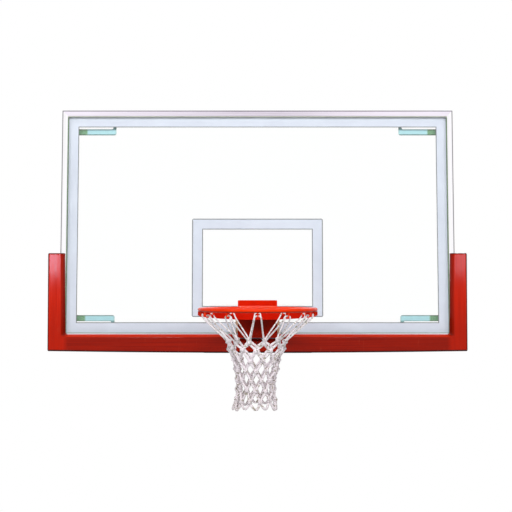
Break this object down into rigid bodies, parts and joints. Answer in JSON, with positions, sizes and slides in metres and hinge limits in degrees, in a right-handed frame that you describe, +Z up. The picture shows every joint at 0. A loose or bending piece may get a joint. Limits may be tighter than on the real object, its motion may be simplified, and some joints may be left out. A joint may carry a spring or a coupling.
{
  "type": "basketball backboard with breakaway goal",
  "caption": "Glass basketball backboard in an aluminium frame, with a red moulded edge pad, a hinged orange breakaway ring and a white knotted net",
  "frame": {"origin": "centre of the four mounting slots, on the back faces of the mounting plates", "axes": "+X to the right as seen from the playing side, +Y from the playing side towards the support, +Z up"},
  "size_m": [1.9316, 0.6781, 1.3254],
  "materials": {
    "clear_glass": "clear",
    "white_print": "fired print",
    "black_seal": "matte",
    "frame_aluminium": "satin",
    "coated_plate": "powder coat",
    "zinc_steel": "zinc plated",
    "red_pad": "satin moulded skin",
    "tan_gasket": "pressed fibre",
    "nylon": "moulded",
    "orange_steel": "gloss powder coat",
    "bronze": "machined",
    "spring_steel": "oiled",
    "white_cord": "braided nylon"
  },
  "bodies": {
    "board": {"border_marking": "white_print", "edge_pad_left": "red_pad", "edge_pad_right": "red_pad", "frame_bottom_rail": "frame_aluminium", "frame_left_stile": "frame_aluminium", "frame_right_stile": "frame_aluminium", "frame_top_rail": "frame_aluminium", "glass_bushings": "nylon", "glass_panel": "clear_glass", "glazing_gasket": "black_seal", "goal_back_plate": "orange_steel", "goal_bolts": "zinc_steel", "goal_gasket": "tan_gasket", "goal_nuts": "zinc_steel", "goal_washers": "zinc_steel", "hinge_lug_left": "orange_steel", "hinge_lug_right": "orange_steel", "hinge_pin": "zinc_steel", "mount_plate_bottom_left": "coated_plate", "mount_plate_bottom_right": "coated_plate", "mount_plate_nuts": "zinc_steel", "mount_plate_screws": "zinc_steel", "mount_plate_top_left": "coated_plate", "mount_plate_top_right": "coated_plate", "pad_screws": "zinc_steel", "pin_clip": "zinc_steel", "rear_gasket": "black_seal", "rear_goal_plate": "zinc_steel", "rear_spring_seats": "zinc_steel", "return_spring_left": "spring_steel", "return_spring_right": "spring_steel", "target_marking": "white_print"},
    "rim": {"carrier_front_panel": "orange_steel", "carrier_top_plate": "orange_steel", "carrier_web_left": "orange_steel", "carrier_web_right": "orange_steel", "front_spring_seats": "zinc_steel", "hinge_bushes": "bronze", "net": "white_cord", "net_hooks": "orange_steel", "rim_ring": "orange_steel", "ring_brace": "orange_steel"}
  },
  "joints": [
    {"name": "rim_breakaway", "type": "hinge", "parent": "board", "child": "rim", "pos_m": [0, -0.078, -0.391], "axis": [1, 0, 0], "range_deg": [0, 20], "stiffness_Nm_per_rad": 400, "springref_deg": -22.92, "deforming": ["return_spring_left", "return_spring_right"]}
  ]
}
